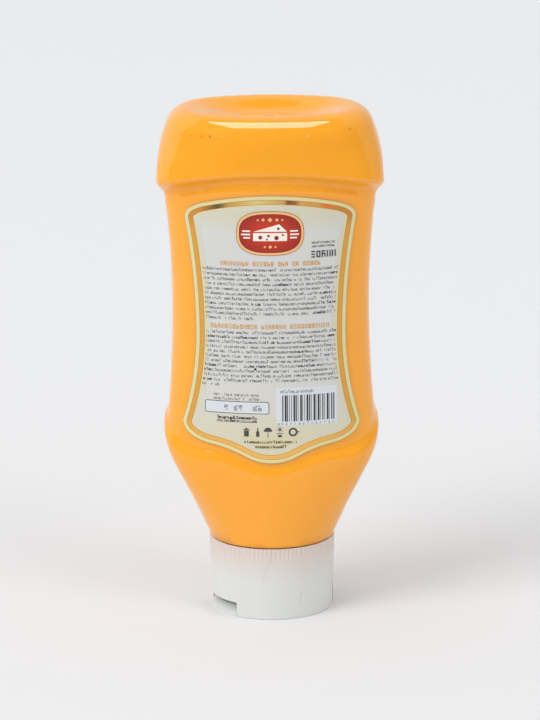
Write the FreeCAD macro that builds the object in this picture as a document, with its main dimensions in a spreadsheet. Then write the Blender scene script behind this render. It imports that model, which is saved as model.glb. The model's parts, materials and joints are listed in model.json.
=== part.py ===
# A clear squeeze bottle of cheese sauce, standing upside down on its flip-top cap.
#
# The frame: millimetres, +Z up, the origin at the middle of the cap's foot, on the table.
# The front, where the label sits, faces -Y. The bottle is blow-moulded, so one smooth skin
# runs from the neck over the shoulder, the recessed label panel and the head to the dished base.

import FreeCAD, Part
import math
import os

import Sketcher
from FreeCAD import Rotation, Vector

DOC = FreeCAD.newDocument("sauce_bottle")

# --------------------------------------------------------------------------------------------
# Driving sizes, in millimetres and degrees
# --------------------------------------------------------------------------------------------
SIZES = {
    # the bottle's overall form
    "crest": (196.3, "height of the crest round the dished base"),
    "head_width": (43.05, "half-width of the head at its widest"),
    "head_depth": (28.0, "half-depth of the head at its deepest"),
    "head_height": (23.2, "height of the head above the panel's arch, at the front centre"),
    "head_wide": (26.3, "drop from the crest to where the head is widest"),
    "head_side": (56.0, "radius that draws the head's sides in"),
    "head_face": (300.0, "radius that draws the head's front and back in"),
    "head_front": (110.0, "radius of the head's front and back where it is widest"),
    "corner": (14.0, "radius of the upright corners"),
    "crest_corner": (22.0, "radius of the corners at the crest"),
    "crest_front": (72.0, "radius of the crest's front and back, seen from above"),
    "wall": (0.7, "wall of the blown bottle"),
    # the dished base
    "base_round": (9.2, "radius that rounds the head over to the crest"),
    "dish": (4.0, "depth of the dish below the crest"),
    "dish_floor": (0.36, "part of the dish's width where it is nearly level"),
    "dish_dome": (0.4, "rise of the dish's middle"),
    "gate_radius": (1.7, "radius of the moulding's gate nub in the dish"),
    "gate_rise": (0.5, "height of the nub above the dome"),
    # the shoulder
    "skin_foot": (0.5, "height of the shoulder's start above the cap's rim"),
    "shoulder_depth": (26.2, "half-depth of the shoulder at its deepest"),
    "shoulder_front": (85.0, "radius of the shoulder's front and back, seen from above"),
    "shoulder_inset": (2.0, "how much narrower than the head the shoulder is, on each side"),
    "cone_rise": (31.0, "height of the shoulder's straight stretch"),
    "shoulder_round": (36.0, "radius that rounds the shoulder over to upright"),
    "square_rise": (40.0, "height over which the shoulder loses its round section"),
    # the recessed panel
    "panel_recess": (3.0, "depth of the panel below the head's front"),
    "waist_inset": (5.65, "how much narrower than the head the waist is, on each side"),
    "waist": (122.0, "height of the waist"),
    "flare_up": (4.15, "how much the side flares out from the waist to the arch"),
    "flare_down": (3.8, "how much the side flares out from the waist to the panel's foot"),
    "panel_front": (70.0, "radius of the panel's front and back"),
    "arch_fall": (10.3, "fall of the panel's upper edge from the front centre to the side"),
    "arch_step": (3.1, "height of the upper step at the front"),
    "arch_step_side": (5.0, "height of the upper step at the side"),
    "foot_point": (61.1, "height of the panel's lower edge at the front centre"),
    "foot_curl": (6.3, "rise of the lower edge from its point to its level stretch"),
    "foot_turn": (0.46, "part of the way to the side where that rise ends"),
    "foot_rise": (13.3, "rise of the lower edge from there to the side"),
    "foot_step": (3.6, "height of the lower step at the front"),
    "foot_step_side": (7.0, "height of the lower step at the side"),
    # the neck
    "neck_radius": (18.6, "outer radius of the neck"),
    "neck_wall": (1.6, "wall of the neck"),
    "neck_drop": (1.0, "drop from the cap's rim to where the neck turns out to the shoulder"),
    "neck_inset": (0.4, "how much narrower the shoulder's start is than the cap's rim"),
    # the cap
    "cap_height": (28.2, "height of the cap's rim"),
    "cap_wall": (0.9, "wall of the cap"),
    "cap_room": (3.2, "room between the cap's wall and its skirt"),
    "cap_taper": (0.95, "how much narrower the cap is at its foot than at its rim"),
    "cap_turn": (-68.0, "turn of the notch from the front, about the upright axis"),
    "deck_foot": (7.6, "height of the deck's underside"),
    "deck": (1.5, "thickness of the deck"),
    "skirt_gap": (0.1, "clearance between the neck and the skirt that holds it"),
    "skirt_wall": (1.2, "wall of the skirt"),
    "skirt_top": (2.2, "drop from the cap's rim to the skirt's"),
    "orifice": (3.0, "radius of the pouring hole"),
    "rib_count": (90, "grooves between the ribs round the rim"),
    "rib_height": (7.6, "drop from the rim to where the grooves fade out"),
    "rib_depth": (0.32, "depth of a groove at the rim"),
    "rib_mouth": (1.15, "width of a groove at its mouth"),
    "rib_floor": (0.35, "width of a groove at its floor"),
    "notch_width": (24.6, "width of the thumb notch"),
    "notch_height": (5.7, "height of the notch above the table"),
    "notch_corner": (0.6, "radius of the notch's upper corners"),
    "rim_edge": (0.35, "rounding of the cap's rim"),
    "foot_edge": (0.25, "bevel of the cap's foot"),
    # the lid
    "lid_gap": (0.15, "clearance round the lid"),
    "lid_plate": (1.3, "thickness of the lid"),
    "lid_lip": (1.5, "height of the upright foot of the lid's rim"),
    "lid_rise": (6.9, "height of the lid's rim"),
    "lid_draw": (2.0, "how far the rim leans in above its foot"),
    "lip_wall": (1.1, "wall of the rim"),
    "tab_inset": (0.3, "how far the tab in the notch stays behind the cap's outside"),
    "tab_foot": (1.3, "height of the tab's upright foot"),
    "plug_wall": (0.8, "wall of the plug that shuts the pouring hole"),
    "strap_angle": (50.0, "width of the hinge strap round the cap"),
    "strap_rise": (0.5, "height of the strap's upper edge above the deck"),
    "strap_proud": (0.35, "how far the strap stands out of the cap's foot"),
    # the label
    "label_film": (0.3, "thickness of the label"),
    "label_drop": (5.75, "drop from the panel's arch to the label's upper edge"),
    "label_arch": (95.0, "radius of the label's upper edge"),
    "label_corner": (5.0, "width of the label's upper corners"),
    "label_narrow": (113.3, "height where the label is narrowest"),
    "label_inset": (9.15, "distance of the label's side from the panel's, at their narrowest"),
    "label_flare_up": (4.0, "how much the label widens from there to its upper corners"),
    "label_flare_down": (5.35, "how much the label widens from there to its hips"),
    "label_hip": (16.9, "height of the hips above the panel's lower point"),
    "label_point": (1.7, "height of the label's lower point above the panel's"),
}

SHEET = DOC.addObject("Spreadsheet::Sheet", "sizes")
for row, (alias, (number, note)) in enumerate(SIZES.items(), start=1):
    SHEET.set(f"A{row}", note)
    SHEET.set(f"B{row}", str(number))
    SHEET.setAlias(f"B{row}", alias)
DOC.recompute()


def value(expression):
    """The number that an expression in the sheet's sizes gives."""
    return float(SHEET.evalExpression(expression))


# Sizes that follow from the driving ones: the cap goes round the neck, the shoulder meets the cap
CAP_RIM = ("(sizes.neck_radius + sizes.skirt_gap + sizes.skirt_wall + sizes.cap_room"
           " + sizes.cap_wall)")
CAP_FOOT = f"({CAP_RIM} - sizes.cap_taper)"
CAP_BORE = f"({CAP_FOOT} - sizes.cap_wall)"
DECK_TOP = "(sizes.deck_foot + sizes.deck)"
NECK_BORE = "(sizes.neck_radius - sizes.neck_wall)"
NECK_TOP = "(sizes.cap_height - sizes.neck_drop)"
SKIN_FOOT = "(sizes.cap_height + sizes.skin_foot)"
SKIN_RADIUS = f"({CAP_RIM} - sizes.neck_inset)"
STRAP_TOP = f"({DECK_TOP} + sizes.strap_rise)"
ARCH = "(sizes.crest - sizes.head_height)"
PANEL_WIDTH = "(sizes.head_width - sizes.waist_inset)"
PANEL_DEPTH = "(sizes.head_depth - sizes.panel_recess)"


# --------------------------------------------------------------------------------------------
# Helpers for the document's objects
# --------------------------------------------------------------------------------------------
def add(kind, name, **properties):
    """A document object with its properties set."""
    made = DOC.addObject(kind, name)
    for key, given in properties.items():
        setattr(made, key, given)
    return made


def bind(made, **expressions):
    """Binds properties of an object to expressions in the sheet's sizes."""
    for key, expression in expressions.items():
        made.setExpression(key.replace("__", "."), expression)
    return made


def sketch_on(body, role, name):
    """An empty sketch on one of the body's own origin planes."""
    sketch = body.newObject("Sketcher::SketchObject", name)
    plane = next(part for part in body.Origin.OriginFeatures if part.Role == role)
    sketch.AttachmentSupport = (plane, [""])
    sketch.MapMode = "FlatFace"
    return sketch


def outline(body, role, name, corners):
    """A closed outline of straight lines, each corner a pair of expressions."""
    sketch = sketch_on(body, role, name)
    spots = [Vector(value(across), value(up), 0) for across, up in corners]
    count = len(spots)
    for index in range(count):
        sketch.addGeometry(Part.LineSegment(spots[index], spots[(index + 1) % count]), False)
    for index in range(count):
        sketch.addConstraint(Sketcher.Constraint("Coincident", index, 2, (index + 1) % count, 1))
    for index, (across, up) in enumerate(corners):
        for kind, expression in (("DistanceX", across), ("DistanceY", up)):
            given = value(expression)
            number = sketch.addConstraint(Sketcher.Constraint(kind, -1, 1, index, 1, given))
            sketch.setExpression(f"Constraints[{number}]", expression)
    return sketch


def turned(body, name, sketch, kind="PartDesign::Revolution"):
    """A revolution or a groove of a sketch about its upright axis."""
    made = body.newObject(kind, name)
    made.Profile = sketch
    made.ReferenceAxis = (sketch, ["V_Axis"])
    return made


def round_edges(body, name, edges, radius):
    """A fillet on the edges of the body's last feature that a test picks."""
    DOC.recompute()
    last = body.Tip
    picked = [f"Edge{number}" for number, edge in enumerate(last.Shape.Edges, 1) if edges(edge)]
    made = body.newObject("PartDesign::Fillet", name)
    made.Base = (last, picked)
    made.setExpression("Radius", radius)
    return made


def level_circle(edge, height, radius):
    """Whether an edge is a whole circle at a height, with a radius."""
    whole = isinstance(edge.Curve, Part.Circle) and len(edge.Vertexes) == 1
    if not whole:
        return False
    return abs(edge.Curve.Center.z - height) < 0.01 and abs(edge.Curve.Radius - radius) < 0.01


# --------------------------------------------------------------------------------------------
# The skin's form. A ring is followed from the front centre to the side, with way from 0 to 1.
# --------------------------------------------------------------------------------------------
RING_STEPS = 16


def mix(low, high, part):
    return low + (high - low) * part


def ease(part):
    """0 to 1 with level ends."""
    part = min(max(part, 0.0), 1.0)
    return part * part * (3 - 2 * part)


def bow(way):
    """A parabola from 0 to 1 that levels out just before the side."""
    return 1.25 * way**2 - 0.25 * way**10


def sagitta(radius, run):
    """How far an arc has fallen away after a run along its tangent."""
    return radius - math.sqrt(radius**2 - run**2)


def panel_foot(way):
    """Height of the panel's lower edge: an ogee, then a rise to the side."""
    turn = value("foot_turn")
    rise = value("foot_rise") * bow(max(way - turn, 0) / (1 - turn))
    return value("foot_point") + value("foot_curl") * ease(way / turn) + rise


def shoulder_edge(way):
    """Height of the shoulder's upper edge, one step below the panel."""
    return panel_foot(way) - mix(value("foot_step"), value("foot_step_side"), bow(way) ** 2)


def panel_arch(way):
    """Height of the panel's upper edge."""
    return value(ARCH) - value("arch_fall") * bow(way)


def head_edge(way):
    """Height of the head's lower edge, one step above the panel."""
    return panel_arch(way) + mix(value("arch_step"), value("arch_step_side"), bow(way))


def shoulder_lean(width):
    """Slope of the straight shoulder that, once rounded over, ends at a half-width."""
    lean = 0.5
    for _ in range(30):
        gain = value("shoulder_round") * (1 - math.cos(math.atan(lean)))
        lean = (width - gain) / value("cone_rise")
    return lean


def shoulder_size(height):
    """Half-width, half-depth, front radius, corner radius and squareness of the shoulder."""
    foot = value(SKIN_RADIUS)
    lean = shoulder_lean(value("head_width - shoulder_inset") - foot)
    rise = height - value(SKIN_FOOT)
    over = rise - value("cone_rise")
    width = foot + lean * min(rise, value("cone_rise"))
    if over > 0:
        radius = value("shoulder_round")
        start = radius * math.sin(math.atan(lean))
        width += sagitta(radius, start) - sagitta(radius, max(start - over, 0.0))
    part = min(rise / value("square_rise"), 1)
    depth = mix(foot, value("shoulder_depth"), math.sin(part * math.pi / 2))
    return width, depth, value("shoulder_front"), value("corner"), ease(part)


def panel_size(height):
    """The same five of the recessed panel, with its drawn-in waist."""
    run = height - value("waist")
    if run > 0:
        flare = value("flare_up") * (run / value(f"{ARCH} - waist")) ** 2
    else:
        flare = value("flare_down") * (run / value("waist - foot_point")) ** 2
    return value(PANEL_WIDTH) + flare, value(PANEL_DEPTH), value("panel_front"), value("corner"), 1.0


def head_size(height):
    """The same five of the head, whose walls draw in and turn rounder towards the base."""
    run = max(height - value("crest - head_wide"), 0.0)
    width = value("head_width") - sagitta(value("head_side"), run)
    depth = value("head_depth") - sagitta(value("head_face"), run)
    part = ease(run / value("head_wide - base_round"))
    front = mix(value("head_front"), value("crest_front"), part)
    return width, depth, front, mix(value("corner"), value("crest_corner"), part), 1.0


def turn_lean(way):
    """Sine of the wall's lean where the rounding takes over: it touches both wall and crest."""
    run = value("head_wide - base_round")
    face = run / value("head_face - base_round")
    side = run / value("head_side - base_round")
    return mix(face, side, bow(way))


def turn_height(way):
    """Height where the rounding to the crest takes over from the head's wall."""
    return value("crest") - value("base_round") * (1 - turn_lean(way))


def ring_spot(size, inset, way):
    """Width and depth of a ring at a way round its quarter, set in by an inset."""
    *lengths, square = size
    width, depth, front, corner = (length - inset for length in lengths)
    reach = front - corner
    across = width - corner
    middle = math.sqrt(reach**2 - across**2) - (front - depth)
    lean = math.asin(across / reach)
    face, bend = front * lean, corner * (math.pi / 2 - lean)
    run = way * (face + bend + middle)
    if run < face:
        spot = front * math.sin(run / front), depth - front * (1 - math.cos(run / front))
    elif run < face + bend:
        angle = lean + (run - face) / corner
        spot = across + corner * math.sin(angle), middle + corner * math.cos(angle)
    else:
        spot = width, middle - (run - face - bend)
    quarter = way * math.pi / 2
    oval = width * math.sin(quarter), depth * math.cos(quarter)
    return mix(oval[0], spot[0], square), mix(oval[1], spot[1], square)


def skin_levels(inset):
    """The skin's rings from the neck to the dish, each a function of the way round."""
    levels = []

    def zone(parts, lower, upper, size):
        for part in parts:
            def level(way, part=part):
                height = mix(lower(way), upper(way), part)
                return (*ring_spot(size(height), inset, way), height)
            levels.append(level)

    def step(lower, upper, below, above):
        for part in (0, 0.25, 0.5, 0.75, 1):
            def level(way, part=part):
                height = mix(lower(way), upper(way), part)
                inner = ring_spot(below(height), inset, way)
                outer = ring_spot(above(height), inset, way)
                blend = ease(part)
                return mix(inner[0], outer[0], blend), mix(inner[1], outer[1], blend), height
            levels.append(level)

    zone((0, 0.07, 0.2, 0.38, 0.56, 0.74, 0.88, 0.96), lambda way: value(SKIN_FOOT),
         shoulder_edge, shoulder_size)
    step(shoulder_edge, panel_foot, shoulder_size, panel_size)
    zone((0.02, 0.07, 0.16, 0.3, 0.45, 0.6, 0.75, 0.87, 0.94, 0.98), panel_foot, panel_arch,
         panel_size)
    step(panel_arch, head_edge, panel_size, head_size)
    zone((0.1, 0.35, 0.7, 1), head_edge, turn_height, head_size)

    # over the rounding, and then down into the dish on ever smaller rings
    def shelf(way, part, radius):
        lean = math.asin(turn_lean(way))
        angle = mix(lean, math.pi / 2, part)
        draw = value("base_round") * math.cos(lean) - radius * math.cos(angle)
        height = value("crest - base_round") + radius * math.sin(angle)
        return (*ring_spot(head_size(turn_height(way)), draw, way), height)

    for part in (0.25, 0.5, 0.75, 1):
        levels.append(lambda way, part=part: shelf(way, part, value("base_round") - inset))

    for share in (0.93, 0.84, 0.74, 0.62, 0.48, 0.34, 0.2, 0.08):
        def level(way, share=share):
            across, along, crest = shelf(way, 1, value("base_round") - inset)
            drop = value("dish") * ease((1 - share) / (1 - value("dish_floor")))
            dome = value("dish_dome") * ease(1 - share / value("dish_floor"))
            return across * share, along * share, crest - drop + dome
        levels.append(level)
    return levels


def ring_wire(level):
    """A closed smooth wire through the four mirrored quarters of a ring, its seam at the back."""
    quarter = [level(step / RING_STEPS) for step in range(RING_STEPS + 1)]
    spots = [Vector(x, y, z) for x, y, z in quarter[:-1]]
    spots += [Vector(x, -y, z) for x, y, z in quarter[:0:-1]]
    spots += [Vector(-x, -y, z) for x, y, z in quarter[:-1]]
    spots += [Vector(-x, y, z) for x, y, z in quarter[:0:-1]]
    knots = [float(number) for number in range(len(spots) + 1)]
    curve = Part.BSplineCurve()
    curve.interpolate(Points=spots, PeriodicFlag=True, Parameters=knots)
    return Part.Wire([curve.toShape()])


def skin(name, inset):
    """The closed form inside the skin's rings, as one loft."""
    rings = []
    for number, level in enumerate(skin_levels(inset)):
        ring = add("Part::Feature", f"{name}_ring_{number:02d}")
        ring.Shape = ring_wire(level)
        rings.append(ring)
    return add("Part::Loft", name, Sections=rings, Solid=True, Ruled=False)


# --------------------------------------------------------------------------------------------
# Bottle: the skin and the neck, hollowed by the same form one wall smaller
# --------------------------------------------------------------------------------------------
def make_bottle():
    neck = DOC.addObject("PartDesign::Body", "neck")
    profile = outline(neck, "XZ_Plane", "neck_profile", [
        (NECK_BORE, DECK_TOP),
        ("sizes.neck_radius", DECK_TOP),
        ("sizes.neck_radius", NECK_TOP),
        (SKIN_RADIUS, SKIN_FOOT),
        (f"{SKIN_RADIUS} - sizes.wall", SKIN_FOOT),
        (NECK_BORE, f"{NECK_TOP} + sizes.wall"),
    ])
    turned(neck, "neck_turned", profile)

    outer = skin("outer_skin", 0.0)
    inner = skin("inner_skin", value("wall"))
    gate = bind(add("Part::Cylinder", "gate_nub"), Radius="sizes.gate_radius",
                Height="sizes.gate_rise + sizes.wall",
                Placement__Base__z="sizes.crest - sizes.dish + sizes.dish_dome - sizes.wall")
    walls = add("Part::Cut", "skin_wall", Base=outer, Tool=inner)
    return add("Part::MultiFuse", "bottle", Shapes=[walls, neck, gate]), outer, inner


# --------------------------------------------------------------------------------------------
# Sauce: fills the bottle from the dish down through the neck to the cap's deck
# --------------------------------------------------------------------------------------------
def make_sauce(inner):
    core = DOC.addObject("PartDesign::Body", "neck_fill")
    profile = outline(core, "XZ_Plane", "neck_fill_profile", [
        ("0", DECK_TOP),
        (NECK_BORE, DECK_TOP),
        (NECK_BORE, f"{NECK_TOP} + sizes.wall"),
        (f"{SKIN_RADIUS} - sizes.wall", SKIN_FOOT),
        ("0", SKIN_FOOT),
    ])
    turned(core, "neck_fill_turned", profile)
    return add("Part::MultiFuse", "sauce", Shapes=[inner, core])


# --------------------------------------------------------------------------------------------
# Cap: a ribbed skirt round the neck, a deck with the pouring hole, a notch and a hinge window
# --------------------------------------------------------------------------------------------
def make_cap():
    cap = DOC.addObject("PartDesign::Body", "cap")
    shell = outline(cap, "XZ_Plane", "shell_profile", [
        (CAP_BORE, "0"),
        (f"{CAP_FOOT} - sizes.foot_edge", "0"),
        (CAP_FOOT, "sizes.foot_edge"),
        (CAP_RIM, "sizes.cap_height"),
        (f"{CAP_RIM} - sizes.cap_wall", "sizes.cap_height"),
        (CAP_BORE, DECK_TOP),
        ("sizes.orifice", DECK_TOP),
        ("sizes.orifice", "sizes.deck_foot"),
        (CAP_BORE, "sizes.deck_foot"),
    ])
    turned(cap, "shell", shell)
    round_edges(cap, "rim_rounding",
                lambda edge: level_circle(edge, value("cap_height"), value(CAP_RIM)),
                "sizes.rim_edge")

    window = outline(cap, "YZ_Plane", "window_profile", [
        (f"{CAP_BORE} - 1", "-1"),
        (f"{CAP_RIM} + 1", "-1"),
        (f"{CAP_RIM} + 1", f"{STRAP_TOP} + sizes.lid_gap"),
        (f"{CAP_BORE} - 1", f"{STRAP_TOP} + sizes.lid_gap"),
    ])
    cut = turned(cap, "hinge_window", window, "PartDesign::Groove")
    cut.Midplane = True
    cut.setExpression("Angle", f"sizes.strap_angle + 360 / pi * sizes.lid_gap / {CAP_FOOT}")

    notch = outline(cap, "XZ_Plane", "notch_profile", [
        ("-sizes.notch_width / 2", "-1"),
        ("sizes.notch_width / 2", "-1"),
        ("sizes.notch_width / 2", "sizes.notch_height"),
        ("-sizes.notch_width / 2", "sizes.notch_height"),
    ])
    pocket = cap.newObject("PartDesign::Pocket", "thumb_notch")
    pocket.Profile = notch
    pocket.Reversed = True
    pocket.setExpression("Length", f"{CAP_RIM} + 1")
    round_edges(cap, "notch_rounding", notch_corner, "sizes.notch_corner")

    # the skirt holds the neck
    inside = "sizes.neck_radius + sizes.skirt_gap"
    skirt_top = "sizes.cap_height - sizes.skirt_top"
    skirt = outline(cap, "XZ_Plane", "skirt_profile", [
        (inside, f"{DECK_TOP} - 0.1"),
        (f"{inside} + sizes.skirt_wall", f"{DECK_TOP} - 0.1"),
        (f"{inside} + sizes.skirt_wall", skirt_top),
        (inside, skirt_top),
    ])
    turned(cap, "skirt", skirt)

    groove = cap.newObject("PartDesign::SubtractiveLoft", "rib_groove")
    fade_height = "(sizes.cap_height - sizes.rib_height)"
    fade_radius = f"{CAP_RIM} - sizes.cap_taper * sizes.rib_height / sizes.cap_height"
    groove.Profile = groove_mouth(cap, "groove_top", "sizes.cap_height + 0.01", CAP_RIM,
                                  "sizes.rib_depth")
    groove.Sections = [groove_mouth(cap, "groove_fade", fade_height, fade_radius, "-0.02")]
    ribs = cap.newObject("PartDesign::PolarPattern", "ribs")
    ribs.Originals = [groove]
    ribs.Axis = (next(part for part in cap.Origin.OriginFeatures if part.Role == "Z_Axis"), [""])
    ribs.Angle = 360
    ribs.setExpression("Occurrences", "sizes.rib_count")
    cap.Tip = ribs
    cap.setExpression("Placement.Rotation.Angle", "sizes.cap_turn")
    return cap


def notch_corner(edge):
    """Whether an edge is one of the notch's two upper corners, through the wall."""
    if len(edge.Vertexes) != 2:
        return False
    low, high = (vertex.Point for vertex in edge.Vertexes)
    side = value("notch_width") / 2
    level = abs(low.z - value("notch_height")) < 0.01 and abs(high.z - value("notch_height")) < 0.01
    at_side = abs(abs(low.x) - side) < 0.01 and abs(high.x - low.x) < 0.01
    return level and at_side and low.y < 0


def groove_mouth(body, name, height, radius, depth):
    """The V of a groove between two ribs, at a height on the cap's wall."""
    sketch = outline(body, "XY_Plane", name, [
        ("-sizes.rib_floor / 2", f"-({radius} - {depth})"),
        ("sizes.rib_floor / 2", f"-({radius} - {depth})"),
        ("sizes.rib_mouth / 2", f"-({radius} + 0.05)"),
        ("sizes.rib_mouth / 2", f"-({radius} + 0.6)"),
        ("-sizes.rib_mouth / 2", f"-({radius} + 0.6)"),
        ("-sizes.rib_mouth / 2", f"-({radius} + 0.05)"),
    ])
    sketch.setExpression("AttachmentOffset.Base.z", height)
    return sketch


# --------------------------------------------------------------------------------------------
# Lid: a shallow dish nested in the cap's foot, with a plug, the hinge strap and a thumb tab
# --------------------------------------------------------------------------------------------
def make_lid():
    lid = DOC.addObject("PartDesign::Body", "lid")
    edge = f"{CAP_BORE} - sizes.lid_gap"
    plug = "sizes.orifice - sizes.lid_gap"
    profile = outline(lid, "XZ_Plane", "lid_profile", [
        ("0", "0"),
        (edge, "0"),
        (edge, "sizes.lid_lip"),
        (f"{edge} - sizes.lid_draw", "sizes.lid_rise"),
        (f"{edge} - sizes.lid_draw - sizes.lip_wall", "sizes.lid_rise"),
        (f"{edge} - sizes.lip_wall", "sizes.lid_lip"),
        (f"{edge} - sizes.lip_wall", "sizes.lid_plate"),
        (plug, "sizes.lid_plate"),
        (plug, DECK_TOP),
        (f"{plug} - sizes.plug_wall", DECK_TOP),
        (f"{plug} - sizes.plug_wall", "sizes.lid_plate"),
        ("0", "sizes.lid_plate"),
    ])
    turned(lid, "lid_dish", profile)
    strap = outline(lid, "YZ_Plane", "strap_profile", [
        (f"{edge} - 0.5", "0"),
        (f"{CAP_FOOT} + sizes.strap_proud", "0"),
        (f"{CAP_FOOT} + sizes.strap_proud", STRAP_TOP),
        (edge, STRAP_TOP),
        (edge, "sizes.lid_lip"),
        (f"{edge} - 0.5", "sizes.lid_lip"),
    ])
    hinge = turned(lid, "hinge_strap", strap)
    hinge.Midplane = True
    hinge.setExpression("Angle", "sizes.strap_angle")

    # a tab on the rim reaches out into the cap's notch, for the thumb
    tab = outline(lid, "YZ_Plane", "tab_profile", [
        (f"0.5 - {edge}", "0"),
        (f"sizes.tab_inset - {CAP_FOOT}", "0"),
        (f"sizes.tab_inset - {CAP_FOOT}", "sizes.tab_foot"),
        (f"sizes.lid_draw / 2 - {edge}", "(sizes.lid_lip + sizes.lid_rise) / 2"),
        (f"sizes.lid_draw / 2 + 0.5 - {edge}", "sizes.lid_lip"),
    ])
    thumb = turned(lid, "thumb_tab", tab)
    thumb.Midplane = True
    half_notch = "(sizes.notch_width / 2 - 2 * sizes.lid_gap)"
    thumb.setExpression("Angle", f"2 * asin({half_notch} / ({CAP_FOOT}))")
    lid.setExpression("Placement.Rotation.Angle", "sizes.cap_turn")
    return lid


# --------------------------------------------------------------------------------------------
# Label: a thin film that lies on the panel's front, cut to its curved outline
# --------------------------------------------------------------------------------------------
def spot(x, z):
    """A point of the front view."""
    return Vector(x, 0, z)


def side_arc(waist, width, flare, height):
    """An upright arc that leaves the narrowest point and has widened by a flare at a height."""
    run = height - waist
    radius = (run**2 + flare**2) / (2 * flare)
    middle = spot(width + sagitta(radius, run / 2), waist + run / 2)
    return Part.Arc(spot(width, waist), middle, spot(width + flare, height)).toShape()


def label_outline():
    """The label's outline in the front view, as a face in the plane y = 0."""
    top = value(f"{ARCH} - label_drop")
    waist = value("label_narrow")
    width = value(f"{PANEL_WIDTH} - label_inset")
    corner = value("label_corner")
    hip = value("foot_point + label_hip")
    point = value("foot_point + label_point")
    ear_width = width + value("label_flare_up")
    hip_width = width + value("label_flare_down")

    # the upper edge, an arc that ends short of the corner
    brow_width = ear_width - corner * 1.25
    brow = top - sagitta(value("label_arch"), brow_width)
    ear = brow - corner * 1.3
    half_brow = top - sagitta(value("label_arch"), brow_width / 2)
    edges = [Part.Arc(spot(0, top), spot(brow_width / 2, half_brow), spot(brow_width, brow)).toShape()]

    # the rounded corner, the two arcs of the side, and the ogee of the lower edge
    rounding = Part.BezierCurve()
    rounding.setPoles([spot(brow_width, brow), spot(ear_width - corner * 0.3, brow - corner * 0.33),
                       spot(ear_width + corner * 0.1, brow - corner * 0.78), spot(ear_width, ear)])
    edges.append(rounding.toShape())
    edges.append(side_arc(waist, width, value("label_flare_up"), ear))
    edges.append(side_arc(waist, width, value("label_flare_down"), hip))
    drop = hip - point
    foot = Part.BSplineCurve()
    foot.interpolate(
        Points=[spot(hip_width, hip), spot(hip_width * 0.93, point + drop * 0.69),
                spot(hip_width * 0.67, point + drop * 0.455),
                spot(hip_width * 0.283, point + drop * 0.151), spot(0, point)],
        Tangents=[Vector(-0.1, 0, -1), Vector(-0.75, 0, -0.65), Vector(-1, 0, -0.16),
                  Vector(-0.88, 0, -0.47), Vector(-1, 0, 0)],
        TangentFlags=[True] * 5)
    edges.append(foot.toShape())

    half = Part.Wire(Part.sortEdges(edges)[0])
    other = half.mirror(Vector(0, 0, 0), Vector(1, 0, 0))
    return Part.Face(Part.Wire(Part.sortEdges(half.Edges + other.Edges)[0]))


def make_label(outer):
    shape = add("Part::Feature", "label_outline")
    shape.Shape = label_outline()
    prism = add("Part::Extrusion", "label_prism", Base=shape, DirMode="Custom",
                Dir=Vector(0, -1, 0), Solid=True)
    bind(prism, LengthFwd="sizes.head_depth")
    DOC.recompute()
    face = add("Part::Feature", "skin_face")
    face.Shape = outer.Shape.Faces[0]
    patch = add("Part::Common", "label_patch", Base=face, Tool=prism)
    return bind(add("Part::Offset", "label", Source=patch, Fill=True), Value="sizes.label_film")


# --------------------------------------------------------------------------------------------
# The document, its checks and the files
# --------------------------------------------------------------------------------------------
bottle, outer_skin, inner_skin = make_bottle()
NODES = [bottle, make_sauce(inner_skin), make_cap(), make_lid(), make_label(outer_skin)]
DOC.recompute()

for thing in DOC.Objects:
    if "Invalid" in thing.State or "Error" in thing.State:
        raise RuntimeError(f"{thing.Name} failed: {thing.State}")
for node in NODES:
    node.Label = node.Name
    if node.Shape.isNull() or not node.Shape.isValid():
        raise RuntimeError(f"{node.Name} has no valid shape")
    if len(node.Shape.Solids) != 1:
        raise RuntimeError(f"{node.Name} is {len(node.Shape.Solids)} solids")

os.makedirs("parts", exist_ok=True)
for node in NODES:
    node.Shape.exportStep(f"parts/{node.Label}.step")
    box = node.Shape.BoundBox
    print(f"{node.Label}: {node.Shape.Volume / 1000:.2f} cm3, "
          f"z {box.ZMin:.2f} to {box.ZMax:.2f}, x {box.XLength:.2f}, y {box.YLength:.2f}")
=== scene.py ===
# %% [markdown]
# # A squeeze bottle of cheese sauce
# The bottle is a clear blown PET shell full of an orange-yellow sauce. It stands upside down on a
# white flip-top cap, and a shaped film label sits in the recess of its waist. The CAD model holds
# every piece at its real size. This lesson gives those pieces their finishes, fills the shell with
# sauce, prints the label and sets up a small studio.

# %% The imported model
import json
import math

import bmesh
import bpy
import numpy as np
from mathutils import Matrix, Vector

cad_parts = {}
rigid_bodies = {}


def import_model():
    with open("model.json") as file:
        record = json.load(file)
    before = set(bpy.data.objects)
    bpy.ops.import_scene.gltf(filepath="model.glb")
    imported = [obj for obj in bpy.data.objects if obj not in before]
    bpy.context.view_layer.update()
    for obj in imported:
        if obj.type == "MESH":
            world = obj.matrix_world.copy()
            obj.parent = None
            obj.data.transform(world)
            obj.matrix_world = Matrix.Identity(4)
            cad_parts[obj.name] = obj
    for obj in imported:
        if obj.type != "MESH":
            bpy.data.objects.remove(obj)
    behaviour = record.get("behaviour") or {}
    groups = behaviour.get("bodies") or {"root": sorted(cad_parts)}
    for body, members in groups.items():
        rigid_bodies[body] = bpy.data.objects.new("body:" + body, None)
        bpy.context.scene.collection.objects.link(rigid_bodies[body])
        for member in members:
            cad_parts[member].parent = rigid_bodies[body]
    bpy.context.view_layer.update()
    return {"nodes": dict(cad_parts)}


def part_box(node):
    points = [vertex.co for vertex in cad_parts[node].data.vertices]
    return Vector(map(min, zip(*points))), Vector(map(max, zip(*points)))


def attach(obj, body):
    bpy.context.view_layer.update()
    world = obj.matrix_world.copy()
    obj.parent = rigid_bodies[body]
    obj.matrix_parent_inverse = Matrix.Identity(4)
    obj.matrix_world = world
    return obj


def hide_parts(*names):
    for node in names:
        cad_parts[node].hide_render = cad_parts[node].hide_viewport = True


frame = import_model()
NODES = frame["nodes"]
MM = 0.001
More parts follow.
